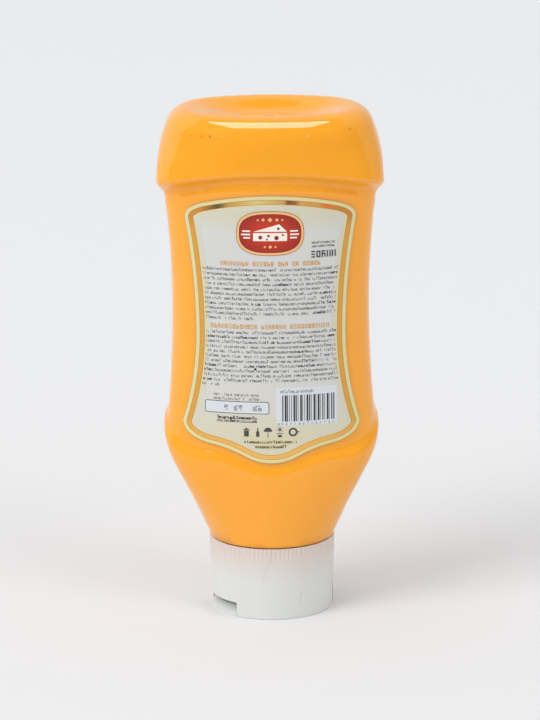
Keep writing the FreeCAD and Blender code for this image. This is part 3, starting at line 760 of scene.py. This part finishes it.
# the text blocks, and then the captions from the top down
BLOCKS = (
    dict(left=-25.7, right=25.6, low=119.1, high=139.2, rows=11, last=0.36, seed=3, fitted=True),
    dict(left=-24.6, right=24.4, low=93.0, high=114.7, rows=12, last=0.12, seed=8, fitted=True),
    dict(left=15.6, right=24.3, low=146.9, high=149.3, rows=2, size=1.0, pitch=0.72, gaps=0.08,
         heavy_share=0.5, seed=4),
    dict(left=-21.7, right=-4.7, low=87.6, high=90.2, rows=2, size=1.0, gaps=0.1, seed=5),
    dict(left=-20.6, right=-5.4, low=78.9, high=81.3, rows=2, size=1.15, gaps=0.05, heavy_share=0.6,
         pitch=0.6, seed=6),
    dict(left=3.5, right=16.0, low=90.4, high=91.8, rows=1, size=1.3, gaps=0.1, heavy_share=0.0,
         pitch=0.95, seed=7),
    dict(left=2.3, right=24.0, low=77.9, high=79.0, rows=1, size=1.1, gaps=0.0, heavy_share=0.0,
         pitch=1.5, seed=9),
    dict(left=-10.3, right=9.9, low=70.8, high=71.9, rows=1, size=1.1, gaps=0.1, heavy_share=0.6,
         pitch=0.85, seed=10),
    dict(left=-6.3, right=5.6, low=68.9, high=70.0, rows=1, size=1.1, gaps=0.0, heavy_share=0.6,
         pitch=0.85, seed=11),
)
HEADINGS = ((140.1, 141.8, -18.9, 18.8, 21), (115.6, 117.3, -22.6, 22.0, 22))
for block in BLOCKS:
    light, heavy = marks(**block)
    print_light.append(light)
    print_heavy.append(heavy)
print_heavy += marks(15.4, 24.7, 143.0, 145.5, 1, size=2.5, gaps=0.0, heavy_share=1.0, seed=12,
                     pitch=1.9, cases=(TALL_MARKS,))
print_light += marks(-17.8, -3.6, 83.5, 85.8, 1, size=2.3, gaps=0.12, heavy_share=1.0, seed=13,
                     pitch=1.75, cases=(DOT_MARKS,))
for low, high, left, right, seed in HEADINGS:
    print_gold += marks(left, right, low, high, 1, size=1.65, gaps=0.1, heavy_share=1.0, seed=seed,
                        pitch=1.36, cases=(TALL_MARKS,))
lay("small_print", print_light, dark_ink, layer=2)
lay("heavy_print", print_heavy, black_ink, layer=2)
lay("headings", print_gold, heading_ink, layer=2)

# %% [markdown]
# ## The bar code and the date box
# A bar code is made of upright bars whose widths are whole steps of one module. The widths and the
# gaps are drawn at random, so the code reads as nothing. A tree sets unit bars along a line. The
# date box is a white plate with a thin rounded outline.

# %% Bar code
CODE_LEFT, CODE_LOW, CODE_HIGH = 4.05, 79.3, 89.6
MODULE = 0.211
BAR_COUNT, BAR_SPACING = 24, 4.0 * MODULE
WIDEST_BAR, LARGEST_SLIDE = 3, 0.8


def bars_group():
    group = new_group("Bars", Geometry="Geometry", Count="Int", Spacing="Float", Module="Float",
                      Height="Float", Seed="Int", Ink="Material")
    given = add(group, "NodeGroupInput").outputs
    step = add(group, "ShaderNodeCombineXYZ", {"X": given["Spacing"]}).outputs[0]
    line = add(group, "GeometryNodeMeshLine", {"Count": given["Count"], "Offset": step},
               mode="OFFSET").outputs[0]
    steps = add(group, "FunctionNodeRandomValue", {"Min": 1, "Max": WIDEST_BAR, "Seed": given["Seed"]},
                data_type="INT").outputs["Value"]
    slide = add(group, "FunctionNodeRandomValue",
                {"Min": 0.0, "Max": LARGEST_SLIDE, "Seed": given["Seed"]},
                data_type="FLOAT").outputs["Value"]
    slide = add(group, "ShaderNodeMath", {0: slide, 1: given["Module"]}, operation="MULTIPLY").outputs[0]
    slide = add(group, "ShaderNodeCombineXYZ", {"X": slide}).outputs[0]
    line = add(group, "GeometryNodeSetPosition", {"Geometry": line, "Offset": slide}).outputs[0]
    width = add(group, "ShaderNodeMath", {0: steps, 1: given["Module"]}, operation="MULTIPLY").outputs[0]
    size = add(group, "ShaderNodeCombineXYZ", {"X": width, "Y": 1.0, "Z": given["Height"]}).outputs[0]
    bars = add(group, "GeometryNodeInstanceOnPoints",
               {"Points": line, "Instance": given["Geometry"], "Scale": size}).outputs[0]
    add(group, "NodeGroupOutput", {"Geometry": inked(group, bars, given["Ink"])})
    return group


code = bar("code", 0.0, 1.0, 0.0, 1.0, 1)
run_group(code, bars_group(), Count=BAR_COUNT, Spacing=BAR_SPACING * MM, Module=MODULE * MM,
          Height=(CODE_HIGH - CODE_LOW) * MM, Seed=5, Ink=black_ink)
code.data.transform(Matrix.Translation((CODE_LEFT * MM, 0, CODE_LOW * MM)))
code_panel = bar("code_panel", 1.8 * MM, 24.8 * MM, 77.7 * MM, 92.6 * MM)


def rounded_box(left, right, low, high, corner, steps=6):
    """The path of a box with rounded corners, in metres, from sizes in millimetres."""
    path = []
    for x, z, start in ((right - corner, high - corner, 0), (left + corner, high - corner, 90),
                        (left + corner, low + corner, 180), (right - corner, low + corner, 270)):
        for angle in np.radians(np.linspace(start, start + 90, steps)):
            path.append((x + corner * math.cos(angle), z + corner * math.sin(angle)))
    return np.array(path) * MM


date_edge = rounded_box(-25.1, -0.8, 82.3, 87.1, 0.8)
date_plate = plate("date_plate", even(date_edge, 90))
date_line = ribbon("date_line", even(date_edge, 120),
                   even(rounded_box(-24.87, -1.03, 82.53, 86.87, 0.6), 120))
lay("white_panels", [code_panel, date_plate], white_ink)
lay("bar_code", [code], black_ink, layer=2)
lay("date_outline", [date_line], dark_ink, layer=2)

# %% [markdown]
# ## Handling signs
# A row of five plain signs stands near the foot: a bin, a bottle, an umbrella, a sun over a box and
# a ring. They are plates and bars of a few millimetres.

# %% Signs
def circle(x, z, radius, count=20, start=0, turn=360):
    """The path of a circle or of a part of one, in metres, from sizes in millimetres."""
    angles = np.radians(np.linspace(start, start + turn, count, endpoint=turn < 360))
    return np.column_stack([x + radius * np.cos(angles), z + radius * np.sin(angles)]) * MM


def mm_bar(left, right, low, high):
    """A bar from sizes in millimetres."""
    return bar("stroke", left * MM, right * MM, low * MM, high * MM, 2)


SIGN_LOW = 73.4
SUN_X, SUN_Z, RAY_REACH = 3.2, SIGN_LOW + 2.8, 1.05
# the signs' bars, with heights above SIGN_LOW: bin, bottle, umbrella, box and the ring's arrow
SIGN_BARS = ((-10.4, -8.6, 0, 2.4), (-10.7, -8.3, 2.6, 2.9), (-9.9, -9.1, 3.0, 3.4),
             (-5.8, -4.6, 0, 2.1), (-5.4, -5.0, 2.1, 3.5), (-1.4, -1.2, 0, 2.1), (-1.8, -1.2, -0.2, 0),
             (2.5, 3.9, -0.2, 0.7), (1.9, 4.5, 1.1, 1.3), (9.9, 10.6, 1.5, 1.9))
signs = [mm_bar(left, right, SIGN_LOW + low, SIGN_LOW + high) for left, right, low, high in SIGN_BARS]
signs += [plate("umbrella", circle(-1.3, SIGN_LOW + 2.0, 1.6, 14, 0, 180), 2),
          plate("sun", circle(SUN_X, SUN_Z, 0.55, 12), 2),
          ribbon("ring", circle(8.2, SIGN_LOW + 1.7, 1.7, 40), circle(8.2, SIGN_LOW + 1.7, 1.0, 40))]
for angle in np.radians(np.arange(0, 360, 45)):
    signs.append(plate("ray", circle(SUN_X + RAY_REACH * math.cos(angle),
                                     SUN_Z + RAY_REACH * math.sin(angle), 0.16, 8), 1))
lay("handling_signs", signs, dark_ink, layer=2)

# %% [markdown]
# ## The badge
# A red badge with a golden rim crowns the label. It carries no name: a slice of holed cheese
# stands in its middle between short rays, with a row of golden lozenges over and under it.

# %% Badge
BADGE_X, BADGE_Z, BADGE_WIDE, BADGE_TALL = -0.1, 152.8, 12.8, 8.6


def oval(wide, tall, power=2.7, count=120):
    """The path of a squarish oval about the badge's middle, in metres."""
    angles = np.linspace(0, 2 * math.pi, count, endpoint=False)
    x = wide * np.sign(np.cos(angles)) * np.abs(np.cos(angles)) ** (2 / power)
    z = tall * np.sign(np.sin(angles)) * np.abs(np.sin(angles)) ** (2 / power)
    return even(np.column_stack([BADGE_X + x, BADGE_Z + z]) * MM, count)


def badge_red():
    made, tree, shader = material("badge_red", "#c8341a", 0.4)
    place = add(tree, "ShaderNodeTexCoord").outputs["Object"]
    away = add(tree, "ShaderNodeVectorMath",
               {0: add(tree, "ShaderNodeVectorMath",
                       {0: place, 1: (BADGE_X * MM, 0, BADGE_Z * MM)}, operation="SUBTRACT").outputs[0],
                1: (1 / (BADGE_WIDE * MM), 0, 1 / (BADGE_TALL * MM))}, operation="MULTIPLY")
    run = add(tree, "ShaderNodeVectorMath", {0: away.outputs[0]}, operation="LENGTH")
    edge = add(tree, "ShaderNodeMapRange", {"Value": run.outputs["Value"], "From Min": 0.2,
                                            "From Max": 1.0})
    tone = add(tree, "ShaderNodeMix", {"Factor": edge.outputs["Result"], "A": linear("#cf361b"),
                                       "B": linear("#96200f")}, data_type="RGBA")
    tree.links.new(tone.outputs["Result"], shader.inputs["Base Color"])
    return made


def shifted(corners):
    """A path given in millimetres from the badge's middle, in metres."""
    return [((x + BADGE_X) * MM, (z + BADGE_Z) * MM) for x, z in corners]


rim_paths = [oval(BADGE_WIDE - inward, BADGE_TALL - inward) for inward in (0, 0.18, 1.05, 1.3)]
dark_red = ink("ink_dark_red", "#8c2a17", "#7c2412")
rim_gold = ink("ink_pale_gold", "#f0c083", "#e6b070")
lay("badge_field", [plate("field", rim_paths[3], 8)], badge_red(), layer=2)
lay("badge_rim", [ribbon("rim", rim_paths[1], rim_paths[2])], rim_gold, layer=2)
lay("badge_lines", [ribbon("line", rim_paths[0], rim_paths[1]),
                    ribbon("line", rim_paths[2], rim_paths[3])], dark_red, layer=2)

# %% [markdown]
# ## What stands on the badge
# The slice is a front and a top, drawn as two flat shapes with a thin line of red between them. Its
# holes are small red discs over them, so no shape needs an opening cut in it.

# %% The cheese slice, the rays and the lozenges
FRONT = [(-6.4, -2.9), (6.4, -2.9), (6.4, 0.2), (-6.4, 0.2)]
TOP = [(-6.4, 0.7), (6.4, 0.7), (3.4, 3.6)]
HOLES = ((-3.7, -1.5, 0.75), (-0.6, -0.9, 0.5), (2.4, -1.7, 0.85), (4.8, -0.6, 0.4), (3.1, 1.9, 0.5),
         (-1.2, -2.3, 0.35))
slice_parts = [plate("slice_front", even(np.array(shifted(FRONT)), 60), 4),
               plate("slice_top", even(np.array(shifted(TOP)), 60), 4)]
for side in (-1, 1):
    for reach, z in ((3.0, 0.9), (3.4, -0.4), (2.6, -1.7)):
        ends = sorted((side * 7.5, side * (7.5 + reach)))
        slice_parts.append(mm_bar(ends[0] + BADGE_X, ends[1] + BADGE_X, z - 0.3 + BADGE_Z,
                                  z + 0.3 + BADGE_Z))
holes = [plate("hole", circle(BADGE_X + x, BADGE_Z + z, radius), 2) for x, z, radius in HOLES]
lozenges = []
for x, z, reach in ((0, 5.3, 0.9), (-2.6, 5.3, 0.7), (2.6, 5.3, 0.7), (-4.6, 5.2, 0.45), (4.6, 5.2, 0.45),
                    (0, -5.2, 0.7), (-2.0, -5.2, 0.5), (2.0, -5.2, 0.5)):
    corners = [(x + reach, z), (x, z + reach), (x - reach, z), (x, z - reach)]
    lozenges.append(plate("lozenge", shifted(corners), 2))
lay("badge_slice", slice_parts, cream_ink, layer=4)
lay("badge_holes", holes, dark_red, layer=6)
lay("badge_lozenges", lozenges, rim_gold, layer=4)

# %% [markdown]
# ## Specks and scratches
# A pack off the shelf isn't spotless. The wall of the head holds a row of dark specks, which in PET
# are burnt bits, and two pale spots that are painted highlights. The ridge under the label has a
# painted highlight at one place, the film has one speck, and the cap has two fine scratches and a
# speck.

# %% Specks and scratches
def speck(x, z, radius):
    """A small round mark, from sizes in millimetres."""
    return plate("speck", circle(x, z, radius, 12), 2)


def scratch(x0, z0, x1, z1, width):
    """A straight fine mark from one spot to another, from sizes in millimetres."""
    across = np.array((z0 - z1, x1 - x0)) / math.hypot(x1 - x0, z1 - z0) * width / 2
    start, end = np.array((x0, z0)), np.array((x1, z1))
    return plate("scratch", even(np.array([start + across, end + across, end - across,
                                           start - across]) * MM, 60), 2)


burnt = ink("speck_brown", "#96541a", "#864812")
painted_highlight_ink = ink("speck_pale", "#ffca86", "#ffc078")
scuff = ink("scuff_grey", "#cdcbc8", "#c8c6c2")
lay("dark_specks", [speck(*spot) for spot in ((-34.2, 189.3, 0.16), (-29.5, 189.6, 0.18),
                                              (-25.5, 189.9, 0.22), (-22.5, 190.0, 0.3),
                                              (-11.0, 179.6, 0.16), (30.0, 191.7, 0.22))],
    burnt, onto="bottle")
# the two pale spots on the head and the pale streak on the ridge under the label are painted highlights
lay("pale_specks", [speck(-18.0, 190.3, 0.26), speck(14.3, 190.4, 0.32),
                    scratch(-25.2, 66.7, -22.6, 66.5, 0.28)], painted_highlight_ink, onto="bottle")
lay("film_speck", [speck(-6.0, 99.9, 0.45)], black_ink, layer=4)
lay("cap_scuffs", [scratch(0.1, 26.5, -4.2, 14.5, 0.25), scratch(11.4, 10.8, 10.1, 4.9, 0.25),
                   speck(-18.5, 23.5, 0.25)], scuff, onto="cap")

# %% [markdown]
# ## The floor
# The object stands on a pale floor that fills the view. It ends a short way in front of the bottle:
# further out, the bottle's shine would show it as a bright field under the dark room.

# %% Floor
FLOOR_REACH = 4.0
FLOOR_FRONT = 0.74


def stage_plane(name, front, reach, finish):
    mesh = bpy.data.meshes.new(name)
    mesh.from_pydata([(-reach, -front, 0), (reach, -front, 0), (reach, reach, 0), (-reach, reach, 0)],
                     [], [(0, 1, 2, 3)])
    plane = placed(name, mesh)
    dress(plane, finish)
    print(name, "reaches", front, "m to the front and", reach, "m to the back")


floor_finish, _, _ = material("studio_floor", "#e6e7e9", 0.9, Specular_IOR_Level=0.1)
stage_plane("studio_floor", FLOOR_FRONT, FLOOR_REACH, floor_finish)

# %% [markdown]
# ## The world
# The world gives the even part of the light, a little more from the left. To the camera it is the
# plain background. In the bottle's shine the room in front stays dark and the backdrop is white, as
# in a studio. Light Path switches give each kind of ray its own strength.

# %% World
# strengths: the white behind the object, the room and the backdrop in its shine, and the light
# that comes from the left and from the right
WHITE = 0.863
DARK_ROOM, BACKDROP_LEFT, BACKDROP_RIGHT = 0.2, 1.0, 0.55
LIGHT_LEFT, LIGHT_RIGHT = 0.9, 0.62

world = bpy.data.worlds.new("studio")
bpy.context.scene.world = world
world.use_nodes = True
sky = world.node_tree
path = add(sky, "ShaderNodeLightPath")
direction = add(sky, "ShaderNodeTexCoord").outputs["Generated"]
view = add(sky, "ShaderNodeSeparateXYZ", {"Vector": direction}).outputs
back = add(sky, "ShaderNodeMapRange", {"Value": view["Y"], "From Min": -0.05, "From Max": 0.05})
low = add(sky, "ShaderNodeMapRange", {"Value": view["Z"], "From Min": 0.88, "From Max": 0.84})
screen = add(sky, "ShaderNodeMath", {0: back.outputs["Result"], 1: low.outputs["Result"]},
             operation="MULTIPLY")
bright = add(sky, "ShaderNodeMapRange", {"Value": view["X"], "From Min": -0.8, "From Max": 0.8,
                                         "To Min": BACKDROP_LEFT, "To Max": BACKDROP_RIGHT})
room = add(sky, "ShaderNodeMapRange", {"Value": screen.outputs[0], "To Min": DARK_ROOM,
                                       "To Max": bright.outputs["Result"]})
side = add(sky, "ShaderNodeMapRange", {"Value": view["X"], "From Min": -1.0, "From Max": 1.0,
                                      "To Min": LIGHT_LEFT, "To Max": LIGHT_RIGHT})
seen = add(sky, "ShaderNodeMix", {"Factor": path.outputs["Is Glossy Ray"],
                                  "A": side.outputs["Result"], "B": room.outputs["Result"]})
strength = add(sky, "ShaderNodeMix", {"Factor": path.outputs["Is Camera Ray"],
                                      "A": seen.outputs["Result"], "B": WHITE})
ground = sky.nodes["Background"]
ground.inputs["Color"].default_value = (1, 1, 1, 1)
sky.links.new(strength.outputs["Result"], ground.inputs["Strength"])
print("world nodes:", len(sky.nodes))

# %% [markdown]
# ## The lamps
# Two large soft boxes stand in front, high on the left and on the right, and far away, so the floor
# is lit evenly. A third hangs above the bottle and only shows as the bright strip on the head's
# upper edge.

# %% Lamps
def soft_box(name, azimuth, elevation, distance, width, height, power):
    """An area lamp aimed at the bottle's middle. Azimuth 0 is the front, positive to the right."""
    aim = Vector((0, 0, 0.1))
    turn, lift = math.radians(azimuth), math.radians(elevation)
    spot = aim + distance * Vector((math.sin(turn) * math.cos(lift),
                                    -math.cos(turn) * math.cos(lift), math.sin(lift)))
    lamp = bpy.data.lights.new(name, "AREA")
    lamp.shape = "RECTANGLE"
    lamp.size, lamp.size_y = width, height
    lamp.energy = power
    box = placed(name, lamp)
    box.location = spot
    box.rotation_euler = (aim - spot).to_track_quat("-Z", "Y").to_euler()
    return box


soft_box("soft_box_left", -50, 42, 12.0, 6.0, 6.0, 560).visible_glossy = False
soft_box("soft_box_right", 50, 40, 12.0, 5.0, 5.0, 190).visible_glossy = False
soft_box("soft_box_above", 0, 89, 1.5, 0.9, 0.8, 13).visible_diffuse = False

# %% [markdown]
# ## The camera
# A long lens from 2.6 metres keeps the bottle's sides nearly parallel. It looks down by about
# fifteen degrees and is rolled by a third of a degree, as a hand-set camera is.

# %% Camera
DISTANCE = 2.6
PITCH = math.radians(15.2)
ROLL = math.radians(-0.32)
AIM = Vector((-0.0004, 0.0, 0.0967))
FOCAL_LENGTH = 340.6

lens = bpy.data.cameras.new("camera")
lens.lens = FOCAL_LENGTH
lens.clip_end = 20
camera = placed("camera", lens)
look = Vector((0, math.cos(PITCH), -math.sin(PITCH)))
camera.location = AIM - DISTANCE * look
camera.rotation_euler = (look.to_track_quat("-Z", "Y").to_matrix()
                         @ Matrix.Rotation(ROLL, 3, "Z")).to_euler()
bpy.context.scene.camera = camera
bpy.context.scene.view_settings.view_transform = "Standard"
print("camera at", [round(c, 3) for c in camera.location])
